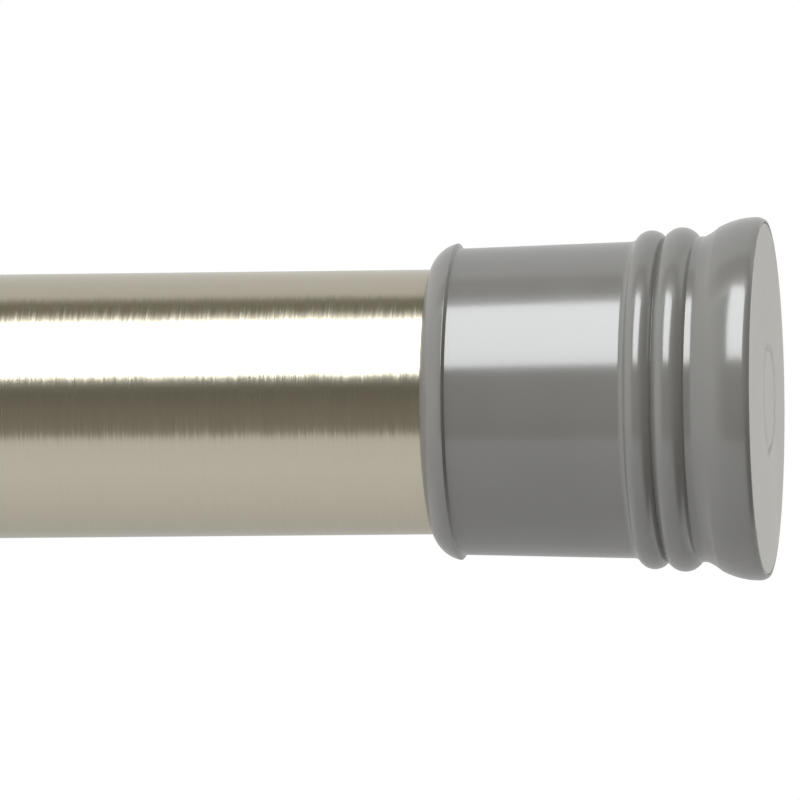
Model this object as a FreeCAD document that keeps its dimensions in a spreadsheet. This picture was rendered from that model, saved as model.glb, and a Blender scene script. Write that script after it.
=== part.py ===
import FreeCAD, Part
import math
import os
import Sketcher
from FreeCAD import Placement, Rotation, Vector

# A telescoping spring tension rod that wedges itself between two walls.
# X runs along the rod. The wall face of the outer pad lies at the origin and looks along +X,
# and the rod reaches back from there along -X to the wall face of the inner pad.
# Each piece is drawn along its own X axis, starting from the end that its function names.

# Driving dimensions in millimetres
sizes = {
    # The two telescoping tubes
    "outer_tube_diameter": 25.4,
    "outer_tube_wall": 0.6,
    "outer_tube_length": 543.0,
    "inner_tube_diameter": 22.2,
    "inner_tube_wall": 0.6,
    "inner_tube_length": 525.1,
    "rest_extension": 100.0,
    # Rubber wall pad
    "pad_ring_inner_radius": 4.4,
    "pad_ring_outer_radius": 5.8,
    "pad_ring_depth": 0.35,
    "pad_flat_radius": 9.0,
    "pad_radius": 16.75,
    "pad_crown": 0.2,
    "pad_edge_round": 0.25,
    "pad_rim": 1.4,
    "pad_rim_clearance": 0.1,
    "pad_thickness": 3.0,
    "pad_seat_radius": 15.1,
    "pad_seat_clearance": 0.1,
    "plug_radius": 3.0,
    "plug_hole_clearance": 0.1,
    "barb_radius": 3.9,
    "barb_land": 0.9,
    "barb_taper": 2.5,
    "barb_gap": 0.1,
    "plug_tip_radius": 2.4,
    # Moulded end cap, from the wall back to the lip round the tube
    "flange_front": 0.25,
    "flange_land_radius": 17.1,
    "flange_radius": 17.38,
    "flange_round_width": 0.8,
    "flare_crown_width": 3.5,
    "flare_middle_radius": 16.48,
    "flare_hollow_width": 1.45,
    "flare_hollow_rise": 0.07,
    "groove_radius": 15.58,
    "groove_width": 0.65,
    "front_rib_width": 2.95,
    "front_rib_rise": 0.98,
    "rib_gap_radius": 15.52,
    "rib_gap_width": 0.4,
    "back_rib_width": 2.4,
    "back_rib_rise": 0.76,
    "rib_foot_radius": 15.5,
    "rib_foot_width": 0.65,
    "rib_foot_hollow": 0.08,
    "barrel_front_radius": 15.16,
    "barrel_back_radius": 14.69,
    "barrel_length": 16.5,
    "lip_flank_width": 0.2,
    "lip_flank_radius": 15.13,
    "lip_crest_width": 0.1,
    "lip_crest_radius": 15.18,
    "lip_crest_rise": 0.02,
    "lip_round_width": 2.25,
    "lip_round_rise": 0.38,
    "mouth_radius": 13.2,
    "web_thickness": 3.0,
    "socket_clearance": 0.05,
    "socket_chamfer": 0.25,
    "spigot_clearance": 0.05,
    "spigot_wall": 1.5,
    "spigot_length": 8.0,
    "spigot_chamfer": 0.5,
    # Guide bush in the outer tube's mouth
    "guide_flange_radius": 13.6,
    "guide_flange_width": 2.5,
    "guide_flange_rise": 0.35,
    "guide_length": 20.0,
    "guide_fit": 0.05,
    "guide_clearance": 0.25,
    "guide_chamfer": 0.4,
    "guide_slot_width": 2.4,
    "guide_slot_length": 11.0,
    # Bush and crimps at the inner tube's hidden end
    "glide_clearance": 0.25,
    "glide_width": 3.0,
    "glide_chamfer": 0.5,
    "bush_length": 17.0,
    "bush_crimp_place": 8.0,
    "crimp_width": 2.4,
    "crimp_depth": 0.45,
    "press_clearance": 0.05,
    "hex_clearance": 0.15,
    # Hexagonal lock stem
    "hex_across_flats": 8.0,
    "thread_radius": 3.9,
    "spring_stroke": 25.0,
    "stroke_margin": 1.0,
    "closed_margin": 1.0,
    "stem_tail": 1.0,
    "stem_tail_chamfer": 0.6,
    # Spring, its seat on the stem and its stop in the inner tube
    "buffer_gap": 0.3,
    "buffer_thickness": 2.0,
    "buffer_radius": 9.2,
    "buffer_hole_clearance": 0.2,
    "seat_radius": 10.1,
    "seat_thickness": 3.0,
    "seat_hex_depth": 1.5,
    "pilot_length": 6.0,
    "pilot_clearance": 0.4,
    "pilot_chamfer": 0.8,
    "spring_installed": 62.0,
    "spring_middle_radius": 8.4,
    "wire_diameter": 1.8,
    "spring_turns": 9.0,
    "stop_length": 12.0,
    "stop_crimp_place": 6.0,
    "stop_bore_radius": 6.0,
    "stop_bore_depth": 11.0,
    "screw_radius": 2.0,
    "screw_hole_clearance": 0.15,
    "screw_grip": 10.0,
    "screw_hole_spare": 1.0,
    "screw_head_radius": 3.6,
    "screw_head_height": 2.6,
    "screw_head_rise": 0.5,
    "screw_socket_flats": 2.5,
    "screw_socket_depth": 1.5,
    "washer_radius": 4.6,
    "washer_thickness": 0.8,
    # Expanding lock in the outer tube
    "sleeve_clearance": 0.2,
    "sleeve_length": 20.0,
    "sleeve_chamfer": 0.6,
    "sleeve_mouth_radius": 9.6,
    "sleeve_bore_radius": 7.2,
    "sleeve_cone_depth": 7.5,
    "sleeve_slit_width": 1.8,
    "sleeve_slit_length": 14.0,
    "cone_clearance": 0.2,
    "cone_end_gap": 0.5,
    "cone_length": 7.0,
    "cone_bore_clearance": 0.05,
    "rear_flange_radius": 10.6,
    "rear_flange_width": 5.0,
    "flange_chamfer": 0.5,
    "pin_radius": 1.25,
    "pin_clearance": 0.02,
    "pin_recess": 0.6,
    "pin_chamfer": 0.3,
    "wedge_flange_radius": 10.6,
    "wedge_flange_width": 3.0,
    "wedge_bore_clearance": 0.15,
    "wedge_key_clearance": 0.25,
    "wedge_key_radius": 11.0,
    "release_travel": 4.0,
    "release_margin": 0.5,
    "stop_nut_flats": 13.0,
    "stop_nut_height": 3.2,
    "stop_nut_collar_radius": 5.6,
    "stop_nut_collar": 1.3,
    "stop_nut_clearance": 0.05,
}

# Sagitta of a quarter round as a share of its radius
quarter_rise = 1 - math.sqrt(0.5)
# Sagitta of an arc that leaves square to a face, as a share of how far it falls
tangent_rise = 0.25
hex_sides = 6
guide_slots = 4
sleeve_slits = 3
# Overlap of a cutting tool past the face that it starts from
over = 1.0

doc = FreeCAD.newDocument("spring_tension_rod")
sheet = doc.addObject("Spreadsheet::Sheet", "Sizes")
for row, (alias, number) in enumerate(sizes.items(), start=1):
    sheet.set("A%d" % row, alias)
    sheet.set("B%d" % row, str(number))
    sheet.setAlias("B%d" % row, alias)
doc.recompute()


class Size:
    """A length with its value and the sheet expression that drives it."""

    def __init__(self, value, text):
        self.value = value
        self.text = text

    def joined(self, sign, other, value):
        return Size(value, "(%s %s %s)" % (self.text, sign, other.text))

    def __add__(self, other):
        other = as_size(other)
        return self.joined("+", other, self.value + other.value)

    def __sub__(self, other):
        other = as_size(other)
        return self.joined("-", other, self.value - other.value)

    def __mul__(self, other):
        other = as_size(other)
        return self.joined("*", other, self.value * other.value)

    def __truediv__(self, other):
        other = as_size(other)
        return self.joined("/", other, self.value / other.value)

    def __neg__(self):
        return Size(-self.value, "(-1 * %s)" % self.text)


def as_size(number):
    if isinstance(number, Size):
        return number
    return Size(float(number), "(%.9f)" % number)


class Sheet:
    """The driving dimensions, read back from the sheet by name."""


s = Sheet()
for alias in sizes:
    setattr(s, alias, Size(float(getattr(sheet, alias)), "Sizes." + alias))
zero = as_size(0)


# Shared values worked out from the driving dimensions
outer_radius = s.outer_tube_diameter / 2
outer_bore = outer_radius - s.outer_tube_wall
inner_radius = s.inner_tube_diameter / 2
inner_bore = inner_radius - s.inner_tube_wall
press_radius = inner_bore - s.press_clearance
hex_corner = s.hex_across_flats / math.sqrt(3)
pilot_radius = s.spring_middle_radius - s.wire_diameter / 2 - s.pilot_clearance
sleeve_slope = (s.sleeve_mouth_radius - s.sleeve_bore_radius) / s.sleeve_cone_depth
cone_base = s.sleeve_mouth_radius - s.cone_clearance
cone_tip = cone_base - sleeve_slope * s.cone_length

# Distances back from the wall face within a cap
web_back = s.pad_thickness + s.web_thickness
barb_start = web_back + s.barb_gap
plug_end = barb_start + s.barb_land + s.barb_taper
flange_crest = s.flange_front + s.flange_round_width
flare_middle = flange_crest + s.flare_crown_width
groove_place = flare_middle + s.flare_hollow_width
front_rib_start = groove_place + s.groove_width
rib_gap_start = front_rib_start + s.front_rib_width
back_rib_start = rib_gap_start + s.rib_gap_width
rib_foot_start = back_rib_start + s.back_rib_width
barrel_start = rib_foot_start + s.rib_foot_width
lip_start = barrel_start + s.barrel_length
lip_crest_start = lip_start + s.lip_flank_width
lip_crest_end = lip_crest_start + s.lip_crest_width
cap_length = lip_crest_end + s.lip_round_width

# Distances back from the outer pad's wall face, at rest
stem_end = plug_end + s.closed_margin + s.rest_extension
stop_nut_height = s.stop_nut_height + s.stop_nut_collar
stop_nut_end = stem_end + s.stem_tail + stop_nut_height
wedge_face = stop_nut_end + s.release_margin + s.release_travel
sleeve_end = wedge_face + s.wedge_flange_width + s.cone_end_gap
sleeve_start = sleeve_end + s.sleeve_length
rear_cone_start = sleeve_start + s.cone_end_gap + s.rear_flange_width
bush_face = rear_cone_start + s.spring_stroke + s.stroke_margin
inner_tube_end = bush_face + s.glide_width
bush_end = bush_face + s.bush_length
seat_face = bush_end + s.buffer_gap + s.buffer_thickness
spring_face = seat_face + s.seat_thickness
pilot_end = spring_face + s.pilot_length
stem_start = seat_face + s.seat_hex_depth
stop_face = spring_face + s.spring_installed
inner_wall = inner_tube_end + s.inner_tube_length + web_back
mouth_face = web_back + s.outer_tube_length + s.guide_flange_width


def origin_feature(body, role):
    for feature in body.Origin.OriginFeatures:
        if feature.Role == role:
            return feature
    raise RuntimeError("no origin feature " + role)


def new_body(label):
    body = doc.addObject("PartDesign::Body", label)
    body.Label = label
    return body


def place_forwards(body, back):
    """Stand the piece at a distance back from the outer wall, pointing along +X."""
    body.setExpression("Placement.Base.x", (-back).text)


def place_backwards(body, back):
    """Stand the piece at a distance back from the outer wall, pointing along -X."""
    body.Placement = Placement(Vector(0, 0, 0), Rotation(Vector(0, 0, 1), 180))
    body.setExpression("Placement.Base.x", (-back).text)


def arc_between(start, end, rise):
    """An arc over a chord, standing off to the left of its direction by the rise."""
    chord = end - start
    left = Vector(-chord.y, chord.x, 0).normalize()
    radius = chord.Length ** 2 / (8 * abs(rise)) + abs(rise) / 2
    side = math.copysign(1, rise)
    centre = (start + end) * 0.5 + left * side * (abs(rise) - radius)
    circle = Part.Circle(centre, Vector(0, 0, 1), radius)
    first, last = (end, start) if rise > 0 else (start, end)
    angles = [math.atan2(p.y - centre.y, p.x - centre.x) for p in (first, last)]
    return Part.ArcOfCircle(circle, angles[0], angles[1])


def arc_radius(start, end, rise):
    """The radius of such an arc, bound to the sizes that place its ends."""
    along = end[0] - start[0]
    across = end[1] - start[1]
    height = rise if rise.value > 0 else -rise
    return (along * along + across * across) / (height * 8) + height / 2


def pin_point(sketch, geometry, point, along, radius):
    """Hold one end of an edge at its distance along and its distance from the axis."""
    if along is zero:
        sketch.addConstraint(Sketcher.Constraint("PointOnObject", geometry, point, -2))
    else:
        index = sketch.addConstraint(
            Sketcher.Constraint("DistanceX", -1, 1, geometry, point, along.value))
        sketch.setExpression("Constraints[%d]" % index, along.text)
    if radius is zero:
        sketch.addConstraint(Sketcher.Constraint("PointOnObject", geometry, point, -1))
    else:
        index = sketch.addConstraint(
            Sketcher.Constraint("DistanceY", -1, 1, geometry, point, radius.value))
        sketch.setExpression("Constraints[%d]" % index, radius.text)


def outline_sketch(body, name, corners):
    """A closed outline in the half plane above the axis, taken clockwise.

    A corner is (along, radius). With a third value an arc leads to it from the corner before,
    standing that far off the chord: outwards if positive, hollow if negative.
    """
    sketch = body.newObject("Sketcher::SketchObject", name)
    sketch.AttachmentSupport = (origin_feature(body, "XY_Plane"), [""])
    sketch.MapMode = "FlatFace"
    points = [Vector(corner[0].value, corner[1].value, 0) for corner in corners]
    ends = []
    for index, start in enumerate(corners):
        following = (index + 1) % len(corners)
        end = corners[following]
        rise = end[2] if len(end) > 2 else None
        if rise is None:
            edge = sketch.addGeometry(Part.LineSegment(points[index], points[following]))
            ends.append((edge, 1, 2))
            continue
        edge = sketch.addGeometry(arc_between(points[index], points[following], rise.value))
        radius = arc_radius(start, end, rise)
        bound = sketch.addConstraint(Sketcher.Constraint("Radius", edge, radius.value))
        sketch.setExpression("Constraints[%d]" % bound, radius.text)
        ends.append((edge, 2, 1) if rise.value > 0 else (edge, 1, 2))
    for index, (edge, first, last) in enumerate(ends):
        pin_point(sketch, edge, first, corners[index][0], corners[index][1])
        after, after_first, after_last = ends[(index + 1) % len(ends)]
        sketch.addConstraint(Sketcher.Constraint("Coincident", edge, last, after, after_first))
    return sketch


def turned(body, name, corners):
    """Turn an outline about the piece's axis."""
    sketch = outline_sketch(body, name + "_outline", corners)
    feature = body.newObject("PartDesign::Revolution", name)
    feature.Profile = sketch
    feature.ReferenceAxis = (sketch, ["H_Axis"])
    feature.Angle = 360.0
    return feature


def across_axis(body, kind, name, along):
    """A primitive that stands on a plane square to the axis, at a distance along it."""
    feature = body.newObject("PartDesign::" + kind, name)
    feature.AttachmentSupport = (origin_feature(body, "YZ_Plane"), [""])
    feature.MapMode = "FlatFace"
    feature.setExpression("AttachmentOffset.Base.z", along.text)
    return feature


def hexagon(body, kind, name, along, corner, length):
    """A hexagonal bar or bore along the axis."""
    feature = across_axis(body, kind, name, along)
    feature.Polygon = hex_sides
    feature.setExpression("Circumradius", corner.text)
    feature.setExpression("Height", length.text)
    return feature


def slit(body, name, along, length, width, start, reach):
    """A slit through one wall, cut from a start height above the axis over a reach."""
    feature = across_axis(body, "SubtractiveBox", name, along)
    feature.setExpression("Height", length.text)
    feature.setExpression("Length", width.text)
    feature.setExpression("Width", reach.text)
    feature.setExpression("AttachmentOffset.Base.x", (-(width / 2)).text)
    feature.setExpression("AttachmentOffset.Base.y", start.text)
    return feature


def around_axis(body, feature, name, count):
    """Repeat a feature evenly round the axis."""
    pattern = body.newObject("PartDesign::PolarPattern", name)
    pattern.Originals = [feature]
    pattern.Axis = (origin_feature(body, "X_Axis"), [""])
    pattern.Angle = 360.0
    pattern.Occurrences = count
    body.Tip = pattern


def cross_hole(body, name, along, radius, length):
    """A round hole straight through the axis, along Z."""
    feature = body.newObject("PartDesign::SubtractiveCylinder", name)
    feature.AttachmentSupport = (origin_feature(body, "XY_Plane"), [""])
    feature.MapMode = "FlatFace"
    feature.setExpression("Radius", radius.text)
    feature.setExpression("Height", length.text)
    feature.setExpression("AttachmentOffset.Base.x", along.text)
    feature.setExpression("AttachmentOffset.Base.z", (-(length / 2)).text)


def crimped(start, place, radius, rise):
    """Two corners of a wall with a rolled crimp between them, taken along +X."""
    return [
        (start + place - s.crimp_width / 2, radius),
        (start + place + s.crimp_width / 2, radius, rise),
    ]


# Wall pad: a slightly crowned rubber disc with a ring pressed in its face, let into the flange,
# and a barbed plug that snaps through the cap's web
def wall_pad(label):
    body = new_body(label)
    turned(body, label + "_disc", [
        (zero, zero),
        (zero, s.pad_ring_inner_radius),
        (zero, s.pad_ring_outer_radius, -s.pad_ring_depth),
        (zero, s.pad_flat_radius),
        (s.pad_crown, s.pad_radius - s.pad_edge_round, s.pad_crown * tangent_rise),
        (s.pad_crown + s.pad_edge_round, s.pad_radius, s.pad_edge_round * quarter_rise),
        (s.pad_rim, s.pad_radius),
        (s.pad_rim, s.pad_seat_radius),
        (s.pad_thickness, s.pad_seat_radius),
        (s.pad_thickness, s.plug_radius),
        (barb_start, s.plug_radius),
        (barb_start, s.barb_radius),
        (barb_start + s.barb_land, s.barb_radius),
        (plug_end, s.plug_tip_radius),
        (plug_end, zero),
    ])
    return body


# End cap: one moulding with a flared flange rebated for the pad, two ribs, a tapered barrel
# and a rounded lip, and inside it a web for the pad and an annular socket for the tube
def end_cap(label, tube_radius, tube_bore):
    body = new_body(label)
    hole = s.plug_radius + s.plug_hole_clearance
    recess = s.pad_seat_radius + s.pad_seat_clearance
    rebate = s.pad_radius + s.pad_rim_clearance
    flange_rise = (s.flange_radius - s.flange_land_radius) * tangent_rise
    flare_rise = (s.flange_radius - s.flare_middle_radius) * tangent_rise
    socket = tube_radius + s.socket_clearance
    spigot = tube_bore - s.spigot_clearance
    spigot_end = web_back + s.spigot_length
    turned(body, label + "_shell", [
        (s.pad_thickness, hole),
        (s.pad_thickness, recess),
        (s.pad_rim, recess),
        (s.pad_rim, rebate),
        (s.flange_front, rebate),
        (s.flange_front, s.flange_land_radius),
        (flange_crest, s.flange_radius, flange_rise),
        (flare_middle, s.flare_middle_radius, flare_rise),
        (groove_place, s.groove_radius, -s.flare_hollow_rise),
        (front_rib_start, s.groove_radius),
        (rib_gap_start, s.rib_gap_radius, s.front_rib_rise),
        (back_rib_start, s.rib_gap_radius),
        (rib_foot_start, s.rib_foot_radius, s.back_rib_rise),
        (barrel_start, s.barrel_front_radius, -s.rib_foot_hollow),
        (lip_start, s.barrel_back_radius),
        (lip_crest_start, s.lip_flank_radius),
        (lip_crest_end, s.lip_crest_radius, s.lip_crest_rise),
        (cap_length, s.mouth_radius, s.lip_round_rise),
        (cap_length, socket + s.socket_chamfer),
        (cap_length - s.socket_chamfer, socket),
        (web_back, socket),
        (web_back, spigot),
        (spigot_end - s.spigot_chamfer, spigot),
        (spigot_end, spigot - s.spigot_chamfer),
        (spigot_end, spigot - s.spigot_wall),
        (web_back, spigot - s.spigot_wall),
        (web_back, hole),
    ])
    return body


# Outer tube, drawn from its seat in the cap towards its open mouth
def outer_tube():
    body = new_body("outer_tube")
    turned(body, "outer_tube_wall", [
        (zero, outer_bore),
        (zero, outer_radius),
        (s.outer_tube_length, outer_radius),
        (s.outer_tube_length, outer_bore),
    ])
    place_backwards(body, web_back)
    return body


# Guide bush, pushed into the outer tube's mouth to carry the inner tube
def mouth_guide_bush():
    body = new_body("mouth_guide_bush")
    bore = inner_radius + s.guide_clearance
    spigot = outer_bore - s.guide_fit
    turned(body, "guide_ring", [
        (zero, bore + s.guide_chamfer),
        (zero, s.guide_flange_radius - s.guide_flange_rise),
        (s.guide_flange_width, s.guide_flange_radius - s.guide_flange_rise, s.guide_flange_rise),
        (s.guide_flange_width, spigot),
        (s.guide_length - s.guide_chamfer, spigot),
        (s.guide_length, spigot - s.guide_chamfer),
        (s.guide_length, bore),
        (s.guide_chamfer, bore),
    ])
    slot = slit(body, "guide_slot", s.guide_length - s.guide_slot_length,
                s.guide_slot_length + over, s.guide_slot_width, zero, outer_radius)
    around_axis(body, slot, "guide_slots", guide_slots)
    place_forwards(body, mouth_face)
    return body


# Inner tube, drawn from its hidden end, with crimps rolled in over the bush and the spring stop
def inner_tube():
    body = new_body("inner_tube")
    bush_crimp = bush_face - inner_tube_end + s.bush_crimp_place
    stop_crimp = stop_face - inner_tube_end + s.stop_crimp_place
    outside = []
    inside = []
    for place in (bush_crimp, stop_crimp):
        outside += crimped(zero, place, inner_radius, -s.crimp_depth)
        start, end = crimped(zero, place, inner_bore, s.crimp_depth)
        inside = [(end[0], end[1]), (start[0], start[1], s.crimp_depth)] + inside
    corners = [(zero, inner_bore), (zero, inner_radius)]
    corners += outside
    corners += [(s.inner_tube_length, inner_radius), (s.inner_tube_length, inner_bore)]
    corners += inside
    turned(body, "inner_tube_wall", corners)
    place_backwards(body, inner_tube_end)
    return body


# Bush crimped into the inner tube's hidden end: it glides in the outer tube and guides the stem
def inner_tube_bush():
    body = new_body("inner_tube_bush")
    glide = outer_bore - s.glide_clearance
    corners = [
        (zero, zero),
        (zero, glide - s.glide_chamfer),
        (s.glide_chamfer, glide),
        (s.glide_width, glide),
        (s.glide_width, press_radius),
    ]
    corners += crimped(zero, s.bush_crimp_place, press_radius, -s.crimp_depth)
    corners += [(s.bush_length, press_radius), (s.bush_length, zero)]
    turned(body, "bush_core", corners)
    bore_corner = (s.hex_across_flats / 2 + s.hex_clearance) * 2 / math.sqrt(3)
    hexagon(body, "SubtractivePrism", "bush_hex_bore", -as_size(over), bore_corner,
            s.bush_length + over * 2)
    place_backwards(body, bush_face)
    return body


# Lock stem: a hexagonal bar that slides in the bush, with a round threaded end for the lock
def lock_stem():
    body = new_body("lock_stem")
    hex_length = stem_start - rear_cone_start
    length = stem_start - stem_end
    hexagon(body, "AdditivePrism", "stem_hexagon", zero, hex_corner, hex_length)
    turned(body, "stem_thread", [
        (hex_length - over, zero),
        (hex_length - over, s.thread_radius),
        (length - s.stem_tail_chamfer, s.thread_radius),
        (length, s.thread_radius - s.stem_tail_chamfer),
        (length, zero),
    ])
    tapped = across_axis(body, "SubtractiveCylinder", "stem_tapped_hole", -as_size(over))
    tapped.setExpression("Radius", (s.screw_radius + s.press_clearance).text)
    tapped.setExpression("Height", (s.screw_grip + s.screw_hole_spare + over).text)
    cross_hole(body, "stem_pin_hole", hex_length + s.rear_flange_width / 2,
               s.pin_radius + s.pin_clearance, s.hex_across_flats * 2)
    place_forwards(body, stem_start)
    return body


# Rubber buffer between the bush and the spring seat
def buffer_washer():
    body = new_body("buffer_washer")
    hole = hex_corner + s.buffer_hole_clearance
    turned(body, "buffer_ring", [
        (zero, hole),
        (zero, s.buffer_radius),
        (s.buffer_thickness, s.buffer_radius),
        (s.buffer_thickness, hole),
    ])
    place_backwards(body, bush_end + s.buffer_gap)
    return body


# Spring seat: a disc on the stem's end, with a pilot that centres the spring
def spring_seat():
    body = new_body("spring_seat")
    length = s.seat_thickness + s.pilot_length
    hole = s.screw_radius + s.screw_hole_clearance
    turned(body, "seat_disc", [
        (zero, hole),
        (zero, s.seat_radius),
        (s.seat_thickness, s.seat_radius),
        (s.seat_thickness, pilot_radius),
        (length - s.pilot_chamfer, pilot_radius),
        (length, pilot_radius - s.pilot_chamfer),
        (length, hole),
    ])
    socket_corner = (s.hex_across_flats / 2 + s.press_clearance) * 2 / math.sqrt(3)
    hexagon(body, "SubtractivePrism", "seat_hex_socket", -as_size(over), socket_corner,
            s.seat_hex_depth + over)
    place_backwards(body, seat_face)
    return body


# Washer and screw that hold the seat to the stem
def seat_washer():
    body = new_body("seat_washer")
    hole = s.screw_radius + s.screw_hole_clearance
    turned(body, "washer_ring", [
        (zero, hole),
        (zero, s.washer_radius),
        (s.washer_thickness, s.washer_radius),
        (s.washer_thickness, hole),
    ])
    place_backwards(body, pilot_end)
    return body


def seat_screw():
    body = new_body("seat_screw")
    shank = pilot_end + s.washer_thickness - stem_start + s.screw_grip
    turned(body, "screw_body", [
        (zero, zero),
        (zero, s.screw_head_radius - s.screw_head_rise),
        (s.screw_head_height - s.screw_head_rise, s.screw_head_radius, s.screw_head_rise / 2),
        (s.screw_head_height, s.screw_head_radius),
        (s.screw_head_height, s.screw_radius),
        (s.screw_head_height + shank, s.screw_radius),
        (s.screw_head_height + shank, zero),
    ])
    hexagon(body, "SubtractivePrism", "screw_socket", -as_size(over),
            s.screw_socket_flats / math.sqrt(3), s.screw_socket_depth + over)
    place_forwards(body, pilot_end + s.washer_thickness + s.screw_head_height)
    return body


# Compression spring with flat ground ends, between the seat and the stop
def compression_spring():
    body = new_body("compression_spring")
    pitch = s.spring_installed / s.spring_turns
    sketch = body.newObject("Sketcher::SketchObject", "wire_section")
    sketch.AttachmentSupport = (origin_feature(body, "XY_Plane"), [""])
    sketch.MapMode = "FlatFace"
    centre = Vector(0, s.spring_middle_radius.value, 0)
    wire = sketch.addGeometry(Part.Circle(centre, Vector(0, 0, 1), s.wire_diameter.value / 2))
    sketch.addConstraint(Sketcher.Constraint("PointOnObject", wire, 3, -2))
    place = sketch.addConstraint(
        Sketcher.Constraint("DistanceY", -1, 1, wire, 3, s.spring_middle_radius.value))
    sketch.setExpression("Constraints[%d]" % place, s.spring_middle_radius.text)
    thick = sketch.addConstraint(Sketcher.Constraint("Diameter", wire, s.wire_diameter.value))
    sketch.setExpression("Constraints[%d]" % thick, s.wire_diameter.text)
    coils = body.newObject("PartDesign::AdditiveHelix", "coils")
    coils.Profile = sketch
    coils.ReferenceAxis = (sketch, ["H_Axis"])
    coils.Mode = "pitch-height-angle"
    coils.setExpression("Pitch", pitch.text)
    coils.setExpression("Height", s.spring_installed.text)
    clear = s.spring_middle_radius + s.wire_diameter
    for name, along in (("front_ground_end", -s.wire_diameter), ("back_ground_end", s.spring_installed)):
        ground = across_axis(body, "SubtractiveCylinder", name, along)
        ground.setExpression("Radius", clear.text)
        ground.setExpression("Height", s.wire_diameter.text)
    place_backwards(body, spring_face)
    return body


# Stop plug crimped deep in the inner tube, which the spring pushes against
def spring_stop_plug():
    body = new_body("spring_stop_plug")
    length = s.pilot_length + s.stop_length
    corners = [
        (zero, zero),
        (zero, pilot_radius - s.pilot_chamfer),
        (s.pilot_chamfer, pilot_radius),
        (s.pilot_length, pilot_radius),
        (s.pilot_length, press_radius),
    ]
    corners += crimped(s.pilot_length, s.stop_crimp_place, press_radius, -s.crimp_depth)
    corners += [
        (length, press_radius),
        (length, s.stop_bore_radius),
        (length - s.stop_bore_depth, s.stop_bore_radius),
        (length - s.stop_bore_depth, zero),
    ]
    turned(body, "stop_core", corners)
    place_backwards(body, stop_face - s.pilot_length)
    return body


# Rear cone of the lock, pinned to the stem against the end of its hexagon
def rear_cone():
    body = new_body("rear_cone")
    hole = s.thread_radius + s.cone_bore_clearance
    shoulder = s.rear_flange_width + s.cone_end_gap
    turned(body, "rear_cone_core", [
        (zero, hole),
        (zero, s.rear_flange_radius - s.flange_chamfer),
        (s.flange_chamfer, s.rear_flange_radius),
        (s.rear_flange_width, s.rear_flange_radius),
        (s.rear_flange_width, cone_base),
        (shoulder, cone_base),
        (shoulder + s.cone_length, cone_tip),
        (shoulder + s.cone_length, hole),
    ])
    cross_hole(body, "rear_cone_pin_hole", s.rear_flange_width / 2,
               s.pin_radius + s.pin_clearance, s.rear_flange_radius * 2 + over)
    place_forwards(body, rear_cone_start)
    return body


# Cross pin through the rear cone and the stem, along Z
def cone_pin():
    body = new_body("cone_pin")
    half = s.rear_flange_radius - s.pin_recess
    turned(body, "pin_core", [
        (zero, zero),
        (zero, s.pin_radius - s.pin_chamfer),
        (s.pin_chamfer, s.pin_radius),
        (half * 2 - s.pin_chamfer, s.pin_radius),
        (half * 2, s.pin_radius - s.pin_chamfer),
        (half * 2, zero),
    ])
    body.Placement = Placement(Vector(0, 0, 0), Rotation(Vector(0, 1, 0), -90))
    body.setExpression("Placement.Base.x", (s.rear_flange_width / 2 - rear_cone_start).text)
    body.setExpression("Placement.Base.z", (-half).text)
    return body


# Expander sleeve, coned inside at both ends and slit from each end in turn
def expander_sleeve():
    body = new_body("expander_sleeve")
    outside = outer_bore - s.sleeve_clearance
    turned(body, "sleeve_wall", [
        (zero, s.sleeve_mouth_radius),
        (zero, outside - s.sleeve_chamfer),
        (s.sleeve_chamfer, outside),
        (s.sleeve_length - s.sleeve_chamfer, outside),
        (s.sleeve_length, outside - s.sleeve_chamfer),
        (s.sleeve_length, s.sleeve_mouth_radius),
        (s.sleeve_length - s.sleeve_cone_depth, s.sleeve_bore_radius),
        (s.sleeve_cone_depth, s.sleeve_bore_radius),
    ])
    slit_length = s.sleeve_slit_length + over
    rear = slit(body, "rear_slit", -as_size(over), slit_length, s.sleeve_slit_width,
                -outer_radius, outer_radius)
    around_axis(body, rear, "rear_slits", sleeve_slits)
    front = slit(body, "front_slit", s.sleeve_length - s.sleeve_slit_length, slit_length,
                 s.sleeve_slit_width, zero, outer_radius)
    around_axis(body, front, "front_slits", sleeve_slits)
    place_forwards(body, sleeve_start)
    return body


# Wedge nut, keyed in one of the sleeve's slits, drawn from its flange towards the sleeve
def wedge_nut():
    body = new_body("wedge_nut")
    hole = s.thread_radius + s.wedge_bore_clearance
    shoulder = s.wedge_flange_width + s.cone_end_gap
    turned(body, "wedge_core", [
        (zero, hole),
        (zero, s.wedge_flange_radius - s.flange_chamfer),
        (s.flange_chamfer, s.wedge_flange_radius),
        (s.wedge_flange_width, s.wedge_flange_radius),
        (s.wedge_flange_width, cone_base),
        (shoulder, cone_base),
        (shoulder + s.cone_length, cone_tip),
        (shoulder + s.cone_length, hole),
    ])
    key_width = s.sleeve_slit_width - s.wedge_key_clearance * 2
    key = across_axis(body, "AdditiveBox", "wedge_key", s.wedge_flange_width - s.flange_chamfer)
    key.setExpression("Height", (s.flange_chamfer + s.cone_end_gap + s.cone_length).text)
    key.setExpression("Length", key_width.text)
    key.setExpression("Width", (s.wedge_key_radius - cone_tip + over).text)
    key.setExpression("AttachmentOffset.Base.x", (-(key_width / 2)).text)
    key.setExpression("AttachmentOffset.Base.y", (cone_tip - over).text)
    place_backwards(body, wedge_face)
    return body


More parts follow.
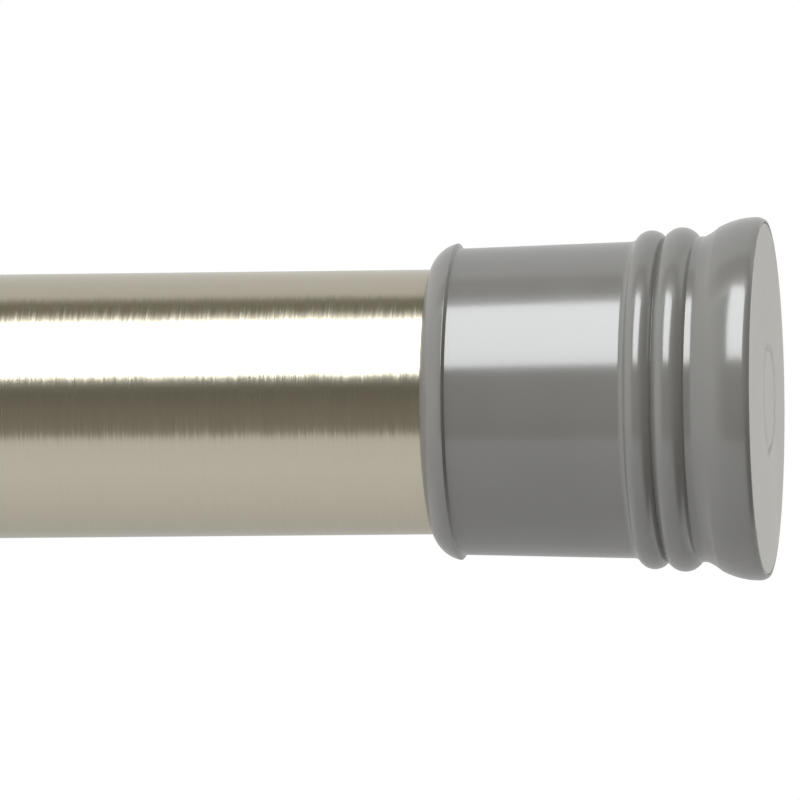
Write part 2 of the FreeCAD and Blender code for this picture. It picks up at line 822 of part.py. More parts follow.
# Locking nut that keeps the wedge nut on the stem, drawn from its collar
def stem_stop_nut():
    body = new_body("stem_stop_nut")
    hexagon(body, "AdditivePrism", "nut_hexagon", s.stop_nut_collar,
            s.stop_nut_flats / math.sqrt(3), s.stop_nut_height)
    turned(body, "nut_collar", [
        (zero, zero),
        (zero, s.stop_nut_collar_radius - s.stop_nut_collar / 2),
        (s.stop_nut_collar, s.stop_nut_collar_radius, s.stop_nut_collar / 6),
        (s.stop_nut_collar + over, s.stop_nut_collar_radius),
        (s.stop_nut_collar + over, zero),
    ])
    bore = across_axis(body, "SubtractiveCylinder", "nut_bore", -as_size(over))
    bore.setExpression("Radius", (s.thread_radius + s.stop_nut_clearance).text)
    bore.setExpression("Height", (stop_nut_height + over * 2).text)
    place_backwards(body, stem_end + s.stem_tail)
    return body


outer_cap = end_cap("outer_end_cap", outer_radius, outer_bore)
inner_cap = end_cap("inner_end_cap", inner_radius, inner_bore)
outer_pad = wall_pad("outer_wall_pad")
inner_pad = wall_pad("inner_wall_pad")
place_backwards(outer_cap, zero)
place_backwards(outer_pad, zero)
place_forwards(inner_cap, inner_wall)
place_forwards(inner_pad, inner_wall)

pieces = [
    outer_tube(),
    outer_cap,
    outer_pad,
    mouth_guide_bush(),
    inner_tube(),
    inner_cap,
    inner_pad,
    inner_tube_bush(),
    lock_stem(),
    buffer_washer(),
    spring_seat(),
    seat_washer(),
    seat_screw(),
    compression_spring(),
    spring_stop_plug(),
    rear_cone(),
    cone_pin(),
    expander_sleeve(),
    wedge_nut(),
    stem_stop_nut(),
]

doc.recompute()
for item in doc.Objects:
    if "Invalid" in item.State or "Error" in item.State:
        raise RuntimeError("%s did not build: %s" % (item.Name, item.State))
for piece in pieces:
    shape = piece.Shape
    if shape.isNull() or not shape.isValid() or len(shape.Solids) != 1:
        raise RuntimeError("%s is not one sound solid" % piece.Label)

os.makedirs("parts", exist_ok=True)
for piece in pieces:
    piece.Shape.exportStep("parts/%s.step" % piece.Label)
    box = piece.Shape.BoundBox
    print("%-20s x %9.3f to %9.3f  volume %10.2f" % (
        piece.Label, box.XMin, box.XMax, piece.Shape.Volume))
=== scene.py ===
import bpy
import math
from mathutils import Matrix, Vector


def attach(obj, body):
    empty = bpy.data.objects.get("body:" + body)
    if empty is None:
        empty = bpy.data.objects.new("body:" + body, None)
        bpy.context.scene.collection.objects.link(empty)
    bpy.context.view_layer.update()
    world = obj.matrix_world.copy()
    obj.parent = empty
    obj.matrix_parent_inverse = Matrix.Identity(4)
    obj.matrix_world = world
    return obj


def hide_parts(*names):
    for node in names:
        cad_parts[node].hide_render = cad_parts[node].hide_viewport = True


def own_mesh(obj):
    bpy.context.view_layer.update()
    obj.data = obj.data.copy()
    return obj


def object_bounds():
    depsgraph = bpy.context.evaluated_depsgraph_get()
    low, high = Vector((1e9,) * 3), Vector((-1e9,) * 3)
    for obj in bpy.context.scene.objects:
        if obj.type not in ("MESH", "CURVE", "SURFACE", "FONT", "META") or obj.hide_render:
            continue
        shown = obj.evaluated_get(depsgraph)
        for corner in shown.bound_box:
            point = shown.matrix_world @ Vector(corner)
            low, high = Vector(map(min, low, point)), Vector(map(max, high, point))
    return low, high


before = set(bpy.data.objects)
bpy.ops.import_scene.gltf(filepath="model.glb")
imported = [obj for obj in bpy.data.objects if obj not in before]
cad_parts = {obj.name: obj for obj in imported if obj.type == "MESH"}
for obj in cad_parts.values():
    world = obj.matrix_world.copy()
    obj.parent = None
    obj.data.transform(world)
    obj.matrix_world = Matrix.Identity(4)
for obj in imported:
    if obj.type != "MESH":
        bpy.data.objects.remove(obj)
cadLow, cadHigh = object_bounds()
mm = 0.001
outerWall = cadHigh.x
innerWall = cadLow.x
print("frame loaded, rod", round((outerWall - innerWall) / mm, 1), "mm long")


# Mesh helpers: a profile is traced by extruding one vertex, then spun round the rod's axis

spinSteps = {"tube": 192, "cap": 224}
arcSteps = 28
mergeDistance = 0.001 * mm
cutDistance = 0.0001 * mm


def startFresh():
    if bpy.context.object and bpy.context.object.mode != "OBJECT":
        bpy.ops.object.mode_set(mode="OBJECT")
    bpy.ops.object.select_all(action="DESELECT")


# Points of an arc of under half a turn, from start to end, that bulges by rise to the left of its way
def arcPoints(start, end, rise, count):
    chord = end - start
    side = Vector((-chord.y, chord.x)).normalized()
    radius = (chord.length ** 2 / 4 + rise ** 2) / (2 * abs(rise))
    middle = (start + end) / 2
    centre = middle + side * (rise - math.copysign(radius, rise))
    first = start - centre
    sweep = 2 * math.asin(min(1.0, chord.length / 2 / radius))
    turn = -math.copysign(sweep, rise)
    return [centre + Matrix.Rotation(turn * step / count, 2) @ first for step in range(1, count + 1)]


# Corners are (distance from the wall, radius) or (distance, radius, rise), in mm
def profilePoints(corners):
    points = [Vector(corners[0][:2])]
    for corner in corners[1:]:
        end = Vector(corner[:2])
        if len(corner) > 2:
            points += arcPoints(points[-1], end, corner[2], arcSteps)
        else:
            points.append(end)
    return points


def outerPlace(point):
    return Vector((outerWall - point.x * mm, 0, point.y * mm))


def innerPlace(point):
    return Vector((innerWall + point.x * mm, 0, point.y * mm))


rodEnds = (("outer", outerPlace), ("inner", innerPlace))


def traceProfile(name, points):
    startFresh()
    bpy.ops.mesh.primitive_circle_add(vertices=3, radius=mm, location=(0, 0, 0))
    piece = bpy.context.object
    piece.name = name
    piece.data.name = name
    bpy.ops.object.mode_set(mode="EDIT")
    bpy.ops.mesh.select_all(action="SELECT")
    bpy.ops.mesh.merge(type="CENTER")
    bpy.ops.transform.translate(value=points[0])
    for before, after in zip(points, points[1:]):
        bpy.ops.mesh.extrude_region_move(TRANSFORM_OT_translate={"value": after - before})
    bpy.ops.object.mode_set(mode="OBJECT")
    return piece


# Small rounds on the profile's sharp corners, as a mould leaves them
def softenCorners(piece, radius, sharpDeg=25, segments=3):
    edgesAt = {}
    for edge in piece.data.edges:
        for index in edge.vertices:
            edgesAt.setdefault(index, []).append(edge)
    sharp = set()
    for index, edges in edgesAt.items():
        if len(edges) != 2:
            continue
        here = piece.data.vertices[index].co
        ways = []
        for edge in edges:
            other = [v for v in edge.vertices if v != index][0]
            ways.append((piece.data.vertices[other].co - here).normalized())
        if math.degrees(ways[0].angle(-ways[1])) > sharpDeg:
            sharp.add(index)
    for vertex in piece.data.vertices:
        vertex.select = vertex.index in sharp
    bpy.ops.object.mode_set(mode="EDIT")
    bpy.ops.mesh.select_mode(type="VERT")
    bpy.ops.mesh.bevel(offset=radius, segments=segments, affect="VERTICES", clamp_overlap=True)
    bpy.ops.object.mode_set(mode="OBJECT")


def spinProfile(steps, smoothDeg=30):
    bpy.ops.object.mode_set(mode="EDIT")
    bpy.ops.mesh.select_all(action="SELECT")
    bpy.ops.mesh.remove_doubles(threshold=mergeDistance)
    bpy.ops.mesh.select_all(action="SELECT")
    bpy.ops.mesh.spin(steps=steps, angle=2 * math.pi, center=(0, 0, 0), axis=(1, 0, 0))
    bpy.ops.mesh.select_all(action="SELECT")
    bpy.ops.mesh.remove_doubles(threshold=mergeDistance)
    bpy.ops.mesh.normals_make_consistent(inside=False)
    bpy.ops.object.mode_set(mode="OBJECT")
    bpy.ops.object.shade_smooth_by_angle(angle=math.radians(smoothDeg))


def turnedPiece(name, corners, place, steps, cornerRound):
    points = [place(point) for point in profilePoints(corners)]
    piece = traceProfile(name, points)
    bpy.ops.object.mode_set(mode="EDIT")
    bpy.ops.mesh.select_all(action="SELECT")
    bpy.ops.mesh.remove_doubles(threshold=mergeDistance)
    bpy.ops.mesh.select_all(action="DESELECT")
    bpy.ops.object.mode_set(mode="OBJECT")
    softenCorners(piece, cornerRound)
    spinProfile(steps)
    return piece


# Materials

maskEnds = (0.3, 0.7)  # the part of a noise's range that its colours and values spread over


def newMaterial(name):
    material = bpy.data.materials.new(name)
    material.use_nodes = True
    nodes = material.node_tree.nodes
    nodes.clear()
    output = nodes.new("ShaderNodeOutputMaterial")
    shader = nodes.new("ShaderNodeBsdfPrincipled")
    material.node_tree.links.new(shader.outputs["BSDF"], output.inputs["Surface"])
    return material, shader


def placeGroup(material, group, values):
    node = material.node_tree.nodes.new("ShaderNodeGroup")
    node.node_tree = group
    for socket, value in values.items():
        node.inputs[socket].default_value = value
    return node


def newGroup(name, inputs, outputs):
    group = bpy.data.node_groups.new(name, "ShaderNodeTree")
    for label, kind in inputs:
        group.interface.new_socket(name=label, in_out="INPUT", socket_type=kind)
    for label, kind in outputs:
        group.interface.new_socket(name=label, in_out="OUTPUT", socket_type=kind)
    return group, group.nodes.new("NodeGroupInput"), group.nodes.new("NodeGroupOutput")


def mathNode(tree, operation, first, second):
    node = tree.nodes.new("ShaderNodeMath")
    node.operation = operation
    for socket, value in zip(node.inputs, (first, second)):
        if isinstance(value, (int, float)):
            socket.default_value = value
        else:
            tree.links.new(value, socket)
    return node.outputs[0]


def stretchedNoise(tree, coordinates, scale, detail):
    mapping = tree.nodes.new("ShaderNodeMapping")
    mapping.inputs["Scale"].default_value = scale
    tree.links.new(coordinates, mapping.inputs["Vector"])
    noise = tree.nodes.new("ShaderNodeTexNoise")
    noise.inputs["Scale"].default_value = 1.0
    noise.inputs["Detail"].default_value = detail
    tree.links.new(mapping.outputs["Vector"], noise.inputs["Vector"])
    return noise.outputs["Fac"]


# Fine lines that run round a turned or drawn piece, as a normal that wavers and a mask

brushShape = {
    "fine": (5500, 300, 300),
    "fineDetail": 3,
    "fineShare": 0.8,
    "broad": (420, 60, 60),
    "broadDetail": 2,
}


def brushLinesGroup():
    group, given, made = newGroup(
        "brushLines",
        [("Waver", "NodeSocketFloat")],
        [("Normal", "NodeSocketVector"), ("Mask", "NodeSocketFloat")],
    )
    coordinates = group.nodes.new("ShaderNodeTexCoord").outputs["Object"]
    fine = stretchedNoise(group, coordinates, brushShape["fine"], brushShape["fineDetail"])
    broad = stretchedNoise(group, coordinates, brushShape["broad"], brushShape["broadDetail"])
    finePart = mathNode(group, "MULTIPLY", fine, brushShape["fineShare"])
    broadPart = mathNode(group, "MULTIPLY", broad, 1 - brushShape["fineShare"])
    both = mathNode(group, "ADD", finePart, broadPart)
    offset = mathNode(group, "MULTIPLY", mathNode(group, "SUBTRACT", both, 0.5), given.outputs["Waver"])
    normal = group.nodes.new("ShaderNodeNewGeometry").outputs["Normal"]
    around = group.nodes.new("ShaderNodeVectorMath")
    around.operation = "CROSS_PRODUCT"
    around.inputs[0].default_value = (1, 0, 0)
    group.links.new(normal, around.inputs[1])
    shift = group.nodes.new("ShaderNodeVectorMath")
    shift.operation = "SCALE"
    group.links.new(around.outputs["Vector"], shift.inputs[0])
    group.links.new(offset, shift.inputs["Scale"])
    added = group.nodes.new("ShaderNodeVectorMath")
    added.operation = "ADD"
    group.links.new(normal, added.inputs[0])
    group.links.new(shift.outputs["Vector"], added.inputs[1])
    unit = group.nodes.new("ShaderNodeVectorMath")
    unit.operation = "NORMALIZE"
    group.links.new(added.outputs["Vector"], unit.inputs[0])
    group.links.new(unit.outputs["Vector"], made.inputs["Normal"])
    group.links.new(both, made.inputs["Mask"])
    return group


# Grain of a moulded surface: a height for bump and a mask for colour and roughness

grainShape = {"detail": 4, "cloud": (90, 90, 90), "cloudDetail": 2}


def mouldGrainGroup():
    group, given, made = newGroup(
        "mouldGrain",
        [("Size", "NodeSocketFloat")],
        [("Height", "NodeSocketFloat"), ("Mask", "NodeSocketFloat")],
    )
    coordinates = group.nodes.new("ShaderNodeTexCoord").outputs["Object"]
    perGrain = mathNode(group, "DIVIDE", 1.0, given.outputs["Size"])
    grain = group.nodes.new("ShaderNodeTexNoise")
    grain.inputs["Detail"].default_value = grainShape["detail"]
    group.links.new(coordinates, grain.inputs["Vector"])
    group.links.new(perGrain, grain.inputs["Scale"])
    cloud = stretchedNoise(group, coordinates, grainShape["cloud"], grainShape["cloudDetail"])
    group.links.new(grain.outputs["Fac"], made.inputs["Height"])
    group.links.new(cloud, made.inputs["Mask"])
    return group


brushLines = brushLinesGroup()
mouldGrain = mouldGrainGroup()


def colourBetween(material, mask, low, high):
    ramp = material.node_tree.nodes.new("ShaderNodeValToRGB")
    for element, place, colour in zip(ramp.color_ramp.elements, maskEnds, (low, high)):
        element.position = place
        element.color = (*colour, 1)
    material.node_tree.links.new(mask, ramp.inputs["Fac"])
    return ramp.outputs["Color"]


def valueBetween(material, mask, low, high):
    spread = material.node_tree.nodes.new("ShaderNodeMapRange")
    spread.inputs["From Min"].default_value = maskEnds[0]
    spread.inputs["From Max"].default_value = maskEnds[1]
    spread.inputs["To Min"].default_value = low
    spread.inputs["To Max"].default_value = high
    material.node_tree.links.new(mask, spread.inputs["Value"])
    return spread.outputs["Result"]


def brushedMetal(name, look):
    material, shader = newMaterial(name)
    links = material.node_tree.links
    lines = placeGroup(material, brushLines, {"Waver": look["waver"]})
    colour = colourBetween(material, lines.outputs["Mask"], look["dark"], look["light"])
    links.new(colour, shader.inputs["Base Color"])
    links.new(valueBetween(material, lines.outputs["Mask"], *look["roughness"]), shader.inputs["Roughness"])
    links.new(lines.outputs["Normal"], shader.inputs["Normal"])
    shader.inputs["Metallic"].default_value = 1.0
    shader.inputs["Anisotropic"].default_value = look["anisotropic"]
    # The tangent runs round the rod, and a quarter turn from it spreads the gloss along the rod
    shader.inputs["Anisotropic Rotation"].default_value = 0.25
    tangent = material.node_tree.nodes.new("ShaderNodeTangent")
    tangent.direction_type = "RADIAL"
    tangent.axis = "X"
    links.new(tangent.outputs["Tangent"], shader.inputs["Tangent"])
    return material


def mouldedMaterial(name, look):
    material, shader = newMaterial(name)
    links = material.node_tree.links
    grain = placeGroup(material, mouldGrain, {"Size": look["grain"]})
    colour = colourBetween(material, grain.outputs["Mask"], look["dark"], look["light"])
    links.new(colour, shader.inputs["Base Color"])
    links.new(valueBetween(material, grain.outputs["Mask"], *look["roughness"]), shader.inputs["Roughness"])
    bump = material.node_tree.nodes.new("ShaderNodeBump")
    bump.inputs["Strength"].default_value = look["bump"]
    bump.inputs["Distance"].default_value = look["depth"]
    links.new(grain.outputs["Height"], bump.inputs["Height"])
    links.new(bump.outputs["Normal"], shader.inputs["Normal"])
    shader.inputs["Specular IOR Level"].default_value = look["specular"]
    return material


satinNickel = brushedMetal("satinNickel", {
    "dark": (0.56, 0.52, 0.415),
    "light": (0.59, 0.55, 0.44),
    "roughness": (0.24, 0.28),
    "anisotropic": 0.78,
    "waver": 0.1,
})
zincSteel = brushedMetal("zincSteel", {
    "dark": (0.55, 0.56, 0.57),
    "light": (0.64, 0.65, 0.66),
    "roughness": (0.25, 0.38),
    "anisotropic": 0.3,
    "waver": 0.1,
})
springSteel = brushedMetal("springSteel", {
    "dark": (0.26, 0.26, 0.27),
    "light": (0.36, 0.36, 0.37),
    "roughness": (0.28, 0.42),
    "anisotropic": 0.2,
    "waver": 0.1,
})
capPlastic = mouldedMaterial("capPlastic", {
    "dark": (0.139, 0.135, 0.126),
    "light": (0.150, 0.146, 0.137),
    "roughness": (0.16, 0.20),
    "grain": 0.5 * mm,
    "bump": 0.04,
    "depth": 0.02 * mm,
    "specular": 0.9,
})
padRubber = mouldedMaterial("padRubber", {
    "dark": (0.72, 0.71, 0.67),
    "light": (0.77, 0.76, 0.72),
    "roughness": (0.55, 0.7),
    "grain": 0.35 * mm,
    "bump": 0.2,
    "depth": 0.03 * mm,
    "specular": 0.3,
})
lockPlastic = mouldedMaterial("lockPlastic", {
    "dark": (0.76, 0.75, 0.70),
    "light": (0.82, 0.81, 0.77),
    "roughness": (0.38, 0.5),
    "grain": 0.3 * mm,
    "bump": 0.12,
    "depth": 0.02 * mm,
    "specular": 0.45,
})
bufferRubber = mouldedMaterial("bufferRubber", {
    "dark": (0.04, 0.04, 0.04),
    "light": (0.06, 0.06, 0.06),
    "roughness": (0.6, 0.75),
    "grain": 0.3 * mm,
    "bump": 0.2,
    "depth": 0.03 * mm,
    "specular": 0.3,
})
print("materials made")


def finishPiece(piece, node, body, material):
    piece.data.materials.clear()
    piece.data.materials.append(material)
    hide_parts(node)
    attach(piece, body)


# End caps: flange with a rebate for the pad, flare, two ribs, tapered barrel and rounded lip,
# with the tube's socket inside

capShape = {
    "outside": [
        (0.25, 17.1),
        (1.05, 17.38, 0.07),
        (4.55, 16.48, 0.225),
        (6.0, 15.58, -0.07),
        (6.65, 15.58),
        (9.8, 15.42, 0.98),
        (12.4, 15.5, 0.76),
        (13.05, 15.16, -0.08),
        (29.55, 14.69),
        (29.75, 15.13),
        (29.85, 15.18, 0.02),
        (32.1, 13.2, 0.38),
    ],
    "webHole": 3.1,
    "web": (3.0, 6.0),
    "padSeat": 15.2,
    "rebate": (1.4, 16.85),
    "mouthChamfer": 0.25,
    "socket": {"outer": 12.75, "inner": 11.15},
    "spigot": {"outer": 12.05, "inner": 10.45},
    "spigotWall": 1.5,
    "spigotEnd": 14.0,
    "spigotChamfer": 0.5,
    "cornerRound": 0.07 * mm,
}


def capCorners(socket, spigot):
    front = capShape["outside"][0][0]
    mouth = capShape["outside"][-1][0]
    hole = capShape["webHole"]
    webFront, webBack = capShape["web"]
    rebateFloor, rebate = capShape["rebate"]
    bore = spigot - capShape["spigotWall"]
    inside = [
        (webFront, hole),
        (webFront, capShape["padSeat"]),
        (rebateFloor, capShape["padSeat"]),
        (rebateFloor, rebate),
        (front, rebate),
    ]
    behind = [
        (mouth, socket + capShape["mouthChamfer"]),
        (mouth - capShape["mouthChamfer"], socket),
        (webBack, socket),
        (webBack, spigot),
        (capShape["spigotEnd"] - capShape["spigotChamfer"], spigot),
        (capShape["spigotEnd"], spigot - capShape["spigotChamfer"]),
        (capShape["spigotEnd"], bore),
        (webBack, bore),
        (webBack, hole),
        (webFront, hole),
    ]
    return inside + capShape["outside"] + behind


for side, place in rodEnds:
    cap = turnedPiece(
        side + "CapMoulding",
        capCorners(capShape["socket"][side], capShape["spigot"][side]),
        place,
        spinSteps["cap"],
        capShape["cornerRound"],
    )
    finishPiece(cap, side + "_end_cap", side, capPlastic)
print("caps moulded")


# Wall pads: slightly crowned rubber discs with a ring pressed in the face and a barbed plug behind

padShape = {
    "corners": [
        (0, 0),
        (0, 4.4),
        (0, 5.8, -0.35),
        (0, 9.0),
        (0.2, 16.58, 0.05),
        (0.45, 16.83, 0.073),
        (1.4, 16.83),
        (1.4, 15.1),
        (3.0, 15.1),
        (3.0, 3.0),
        (6.1, 3.0),
        (6.1, 3.9),
        (7.0, 3.9),
        (9.5, 2.4),
        (9.5, 0),
    ],
    "cornerRound": 0.08 * mm,
}
for side, place in rodEnds:
    pad = turnedPiece(
        side + "PadRubber",
        padShape["corners"],
        place,
        spinSteps["cap"],
        padShape["cornerRound"],
    )
    finishPiece(pad, side + "_wall_pad", side, padRubber)
print("pads moulded")


# Tubes, the inner one with crimps rolled in over the pieces that it holds

outerTubeShape = {"near": 6.0, "far": 549.0, "radius": 12.7, "bore": 12.1, "cornerRound": 0.15 * mm}
innerTubeShape = {
    "near": 178.5,
    "far": 703.6,
    "radius": 11.1,
    "bore": 10.5,
    "crimps": (183.5, 265.8),
    "crimpWide": 2.4,
    "crimpDeep": 0.45,
    "cornerRound": 0.15 * mm,
}


def tubeCorners(shape):
    outside = [(shape["near"], shape["radius"])]
    inside = [(shape["near"], shape["bore"])]
    for place in shape.get("crimps", ()):
        start = place - shape["crimpWide"] / 2
        end = place + shape["crimpWide"] / 2
        outside += [(start, shape["radius"]), (end, shape["radius"], -shape["crimpDeep"])]
        inside = [(end, shape["bore"]), (start, shape["bore"], shape["crimpDeep"])] + inside
    ends = [(shape["far"], shape["radius"]), (shape["far"], shape["bore"])]
    return outside + ends + inside + outside[:1]


for side, shape in (("outer", outerTubeShape), ("inner", innerTubeShape)):
    tube = turnedPiece(
        side + "TubeShell",
        tubeCorners(shape),
        outerPlace,
        spinSteps["tube"],
        shape["cornerRound"],
    )
    finishPiece(tube, side + "_tube", side, satinNickel)
print("tubes drawn")


# Thrust spring: round wire wound between its seat and its stop, with the ends ground flat

springShape = {
    "seat": 197.8,
    "length": 62.0,
    "stroke": 25.0,
    "turns": 9,
    "middle": 8.4,
    "wire": 1.8,
    "sectionSides": 24,
    "stepsPerTurn": 72,
    "smoothDeg": 40,
}


def woundCoil(name, shape):
    front = outerWall - shape["seat"] * mm
    back = front - shape["length"] * mm
    startFresh()
    bpy.ops.mesh.primitive_circle_add(
        vertices=shape["sectionSides"],
        radius=shape["wire"] / 2 * mm,
        location=(0, 0, 0),
    )
    coil = bpy.context.object
    coil.name = name
    coil.data.name = name
    bpy.ops.object.mode_set(mode="EDIT")
    bpy.ops.mesh.select_all(action="SELECT")
    bpy.ops.transform.translate(value=(back, -shape["middle"] * mm, 0))
    bpy.ops.object.mode_set(mode="OBJECT")
    winding = coil.modifiers.new("winding", "SCREW")
    winding.axis = "X"
    winding.angle = 2 * math.pi
    winding.screw_offset = shape["length"] / shape["turns"] * mm
    winding.iterations = shape["turns"]
    winding.steps = shape["stepsPerTurn"]
    winding.render_steps = shape["stepsPerTurn"]
    bpy.ops.object.modifier_apply(modifier=winding.name)
    bpy.ops.object.mode_set(mode="EDIT")
    bpy.ops.mesh.select_all(action="SELECT")
    bpy.ops.mesh.fill_holes(sides=0)
    for end, way in ((front, 1), (back, -1)):
        bpy.ops.mesh.select_all(action="SELECT")
        bpy.ops.mesh.bisect(
            plane_co=(end, 0, 0),
            plane_no=(way, 0, 0),
            clear_outer=True,
            threshold=cutDistance,
        )
    bpy.ops.mesh.select_all(action="SELECT")
    bpy.ops.mesh.remove_doubles(threshold=mergeDistance)
    bpy.ops.mesh.fill_holes(sides=0)
    bpy.ops.mesh.select_all(action="SELECT")
    bpy.ops.mesh.normals_make_consistent(inside=False)
    bpy.ops.object.mode_set(mode="OBJECT")
    bpy.ops.object.shade_smooth_by_angle(angle=math.radians(shape["smoothDeg"]))
    return coil


coil = woundCoil("thrustCoil", springShape)
finishPiece(coil, "compression_spring", "inner", springSteel)
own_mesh(coil)
print("spring wound")


# The guide bush and the hidden nodes keep their CAD meshes

nodeFinishes = {
    "mouth_guide_bush": capPlastic,
    "inner_tube_bush": lockPlastic,
    "lock_stem": zincSteel,
    "buffer_washer": bufferRubber,
    "spring_seat": lockPlastic,
    "seat_washer": zincSteel,
    "seat_screw": zincSteel,
    "spring_stop_plug": lockPlastic,
    "rear_cone": lockPlastic,
    "cone_pin": zincSteel,
    "expander_sleeve": lockPlastic,
    "wedge_nut": lockPlastic,
    "stem_stop_nut": zincSteel,
}
for node, material in nodeFinishes.items():
    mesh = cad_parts[node].data
    mesh.materials.clear()
    mesh.materials.append(material)
print("CAD nodes finished")


# Floor, in metres, which fades out into the white ground

floorShape = {
    "drop": 0.15,
    "wide": 2.6,
    "deep": 2.4,
    "sides": (0.55, 1.0),
    "rightEnd": (0.04, 0.3),
    "leftEnd": (0.8, 1.5),
    "colour": (0.8, 0.8, 0.8, 1),
    "roughness": 0.9,
    "specular": 0.1,
}
startFresh()
bpy.ops.mesh.primitive_plane_add(size=1, location=(0, 0, 0))
floor = bpy.context.object
floor.name = "floor"
bpy.ops.object.mode_set(mode="EDIT")
bpy.ops.mesh.select_all(action="SELECT")
bpy.ops.transform.resize(value=(floorShape["wide"], floorShape["deep"], 1))
bpy.ops.transform.translate(value=((outerWall + innerWall) / 2, 0, cadLow.z - floorShape["drop"]))
bpy.ops.object.mode_set(mode="OBJECT")


def eased(tree, value, ends):
    ease = tree.nodes.new("ShaderNodeMapRange")
    ease.interpolation_type = "SMOOTHSTEP"
    ease.inputs["From Min"].default_value = ends[0]
    ease.inputs["From Max"].default_value = ends[1]
    tree.links.new(value, ease.inputs["Value"])
    return ease.outputs["Result"]


def floorMaterial():
    material, shader = newMaterial("floorPaper")
    tree = material.node_tree
    shader.inputs["Base Color"].default_value = floorShape["colour"]
    shader.inputs["Roughness"].default_value = floorShape["roughness"]
    shader.inputs["Specular IOR Level"].default_value = floorShape["specular"]
    place = tree.nodes.new("ShaderNodeSeparateXYZ")
    tree.links.new(tree.nodes.new("ShaderNodeTexCoord").outputs["Object"], place.inputs[0])
    away = mathNode(tree, "ABSOLUTE", place.outputs["Y"], 0)
    leftwards = mathNode(tree, "MULTIPLY", place.outputs["X"], -1)
    sidesGone = eased(tree, away, floorShape["sides"])
    rightGone = eased(tree, place.outputs["X"], floorShape["rightEnd"])
    leftGone = eased(tree, leftwards, floorShape["leftEnd"])
    gone = mathNode(tree, "MAXIMUM", sidesGone, mathNode(tree, "MAXIMUM", rightGone, leftGone))
    tree.links.new(mathNode(tree, "SUBTRACT", 1, gone), shader.inputs["Alpha"])
    return material


floor.data.materials.append(floorMaterial())
floor.visible_glossy = False
print("floor laid")


# Light: one large soft box above the front, in a pale room that is dark on the camera's side and overhead.
# The bands go round the rod: 0 degrees is the camera's side, 90 is overhead and 180 is behind

roomShape = {
    "bands": [
        (-180, (0.56, 0.56, 0.56)),
        (-140, (0.60, 0.60, 0.60)),
        (-60, (0.85, 0.85, 0.86)),
        (-29, (0.83, 0.83, 0.84)),
        (-26, (0.31, 0.295, 0.265)),
        (0, (0.225, 0.215, 0.185)),
        (20, (0.11, 0.104, 0.085)),
        (24, (0.40, 0.40, 0.40)),
        (74, (0.40, 0.40, 0.40)),
        (76, (1.8, 1.8, 1.8)),
        (82, (0.9, 0.9, 0.9)),
        (86, (0.19, 0.183, 0.14)),
        (102, (0.21, 0.2, 0.155)),
        (108, (0.70, 0.70, 0.70)),
        (180, (0.76, 0.76, 0.76)),
    ],
    "right": (0.3, 0.6),
    "rightFront": (0.05, 0.047, 0.035, 1),
    "rightBack": (1.0, 1.0, 1.0, 1),
    "rightTurn": (-0.1, 0.3),
    "left": (0.45, 0.8),
    "leftWall": (1.0, 1.0, 1.0, 1),
}


# Of a Mix node's sockets, 6 and 7 take the two colours, and output 2 gives the mixed one
def mixed(tree, share, first, second):
    blend = tree.nodes.new("ShaderNodeMix")
    blend.data_type = "RGBA"
    tree.links.new(share, blend.inputs["Factor"])
    for socket, value in ((blend.inputs[6], first), (blend.inputs[7], second)):
        if isinstance(value, tuple):
            socket.default_value = value
        else:
            tree.links.new(value, socket)
    return blend.outputs[2]


def buildWorld():
    world = bpy.data.worlds.new("studioRoom")
    bpy.context.scene.world = world
    world.use_nodes = True
    tree = world.node_tree
    tree.nodes.clear()
    output = tree.nodes.new("ShaderNodeOutputWorld")
    room = tree.nodes.new("ShaderNodeBackground")
    paper = tree.nodes.new("ShaderNodeBackground")
    paper.inputs["Color"].default_value = (1, 1, 1, 1)
    mix = tree.nodes.new("ShaderNodeMixShader")
    path = tree.nodes.new("ShaderNodeLightPath")
    tree.links.new(path.outputs["Is Camera Ray"], mix.inputs["Fac"])
    tree.links.new(room.outputs[0], mix.inputs[1])
    tree.links.new(paper.outputs[0], mix.inputs[2])
    tree.links.new(mix.outputs[0], output.inputs["Surface"])
    way = tree.nodes.new("ShaderNodeSeparateXYZ")
    tree.links.new(tree.nodes.new("ShaderNodeTexCoord").outputs["Generated"], way.inputs[0])
    forward = mathNode(tree, "MULTIPLY", way.outputs["Y"], -1)
    angle = mathNode(tree, "ARCTAN2", way.outputs["Z"], forward)
    share = mathNode(tree, "ADD", mathNode(tree, "DIVIDE", angle, 2 * math.pi), 0.5)
    ramp = tree.nodes.new("ShaderNodeValToRGB")
    elements = ramp.color_ramp.elements
    while len(elements) < len(roomShape["bands"]):
        elements.new(0.5)
    for element, (degrees, colour) in zip(elements, roomShape["bands"]):
        element.position = degrees / 360 + 0.5
        element.color = (*colour, 1)
    tree.links.new(share, ramp.inputs["Fac"])
    backwards = eased(tree, way.outputs["Y"], roomShape["rightTurn"])
    rightWall = mixed(tree, backwards, roomShape["rightFront"], roomShape["rightBack"])
    toRight = eased(tree, way.outputs["X"], roomShape["right"])
    withRight = mixed(tree, toRight, ramp.outputs["Color"], rightWall)
    leftwards = mathNode(tree, "MULTIPLY", way.outputs["X"], -1)
    toLeft = eased(tree, leftwards, roomShape["left"])
    withLeft = mixed(tree, toLeft, withRight, roomShape["leftWall"])
    tree.links.new(withLeft, room.inputs["Color"])


buildWorld()

softBox = {
    "aim": 25,  # mm in from the outer wall
    "distance": 0.95,
    "elevation": 50.3,
    "azimuth": -9,
    "wide": 0.62,
    "high": 0.876,
    "radiance": 7.0,
    "colour": (0.955, 0.98, 1.0),
}


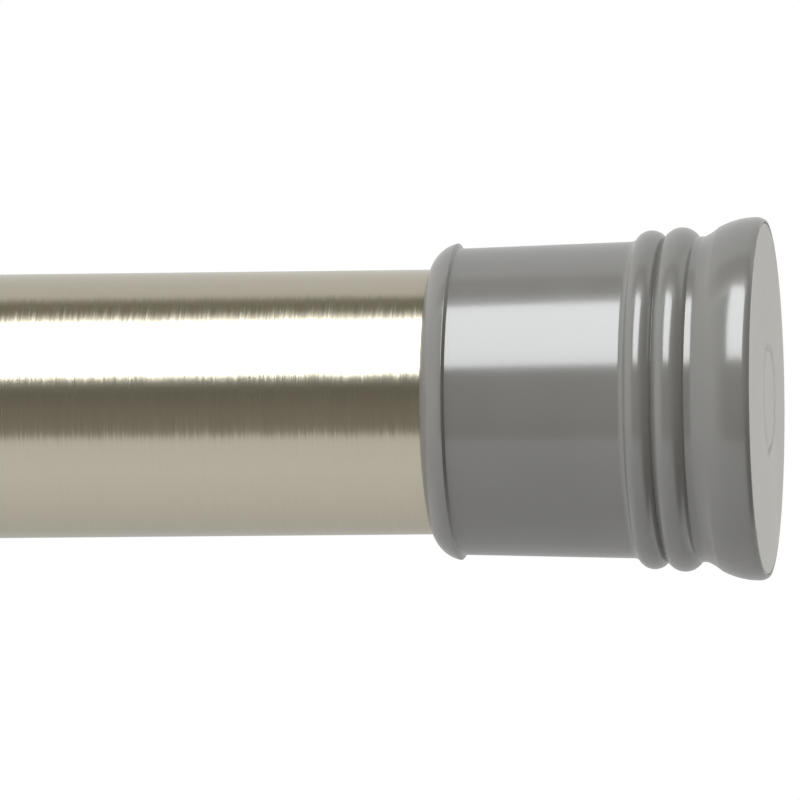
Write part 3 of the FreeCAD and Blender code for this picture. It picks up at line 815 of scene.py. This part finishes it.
def addSoftBox():
    elevation = math.radians(softBox["elevation"])
    azimuth = math.radians(softBox["azimuth"])
    way = Vector((
        math.sin(azimuth) * math.cos(elevation),
        -math.cos(azimuth) * math.cos(elevation),
        math.sin(elevation),
    ))
    target = Vector((outerWall - softBox["aim"] * mm, 0, 0))
    startFresh()
    bpy.ops.object.light_add(type="AREA", location=target + way * softBox["distance"])
    lamp = bpy.context.object
    lamp.name = "softBox"
    lamp.data.shape = "RECTANGLE"
    lamp.data.size = softBox["wide"]
    lamp.data.size_y = softBox["high"]
    lamp.data.energy = softBox["radiance"] * math.pi * softBox["wide"] * softBox["high"]
    lamp.data.color = softBox["colour"]
    lamp.rotation_mode = "QUATERNION"
    lamp.rotation_quaternion = (-way).to_track_quat("-Z", "Y")
    lamp.visible_camera = False


addSoftBox()
print("lights set")


# Camera, from the photograph's frame of 800 by 800

shot = {
    "frameWide": 800,
    "lens": 564.5,
    "sensor": 36.0,
    "azimuth": 7.4,
    "faceDistance": 1.2,
    "facePixel": (769.5, 398.6),
    "roll": 0.58,
    "clipStart": 0.01,
}


def addCamera():
    focal = shot["lens"] / shot["sensor"] * shot["frameWide"]
    right = (shot["facePixel"][0] - shot["frameWide"] / 2) / focal
    down = (shot["facePixel"][1] - shot["frameWide"] / 2) / focal
    azimuth = math.radians(shot["azimuth"])
    forward = Vector((-math.sin(azimuth), math.cos(azimuth), 0))
    sideways = Vector((math.cos(azimuth), math.sin(azimuth), 0))
    up = Vector((0, 0, 1))
    turn = Matrix.Rotation(math.radians(shot["roll"]), 3, forward)
    sideways = turn @ sideways
    up = turn @ up
    toFace = (forward + sideways * right - up * down).normalized()
    place = Vector((outerWall, 0, 0)) - toFace * shot["faceDistance"]
    startFresh()
    bpy.ops.object.camera_add(location=place)
    camera = bpy.context.object
    camera.data.lens = shot["lens"]
    camera.data.sensor_width = shot["sensor"]
    camera.data.clip_start = shot["clipStart"]
    camera.rotation_mode = "QUATERNION"
    camera.rotation_quaternion = Matrix((sideways, up, -forward)).transposed().to_quaternion()
    bpy.context.scene.camera = camera


addCamera()
bpy.context.scene.view_settings.view_transform = "Standard"
print("camera set")
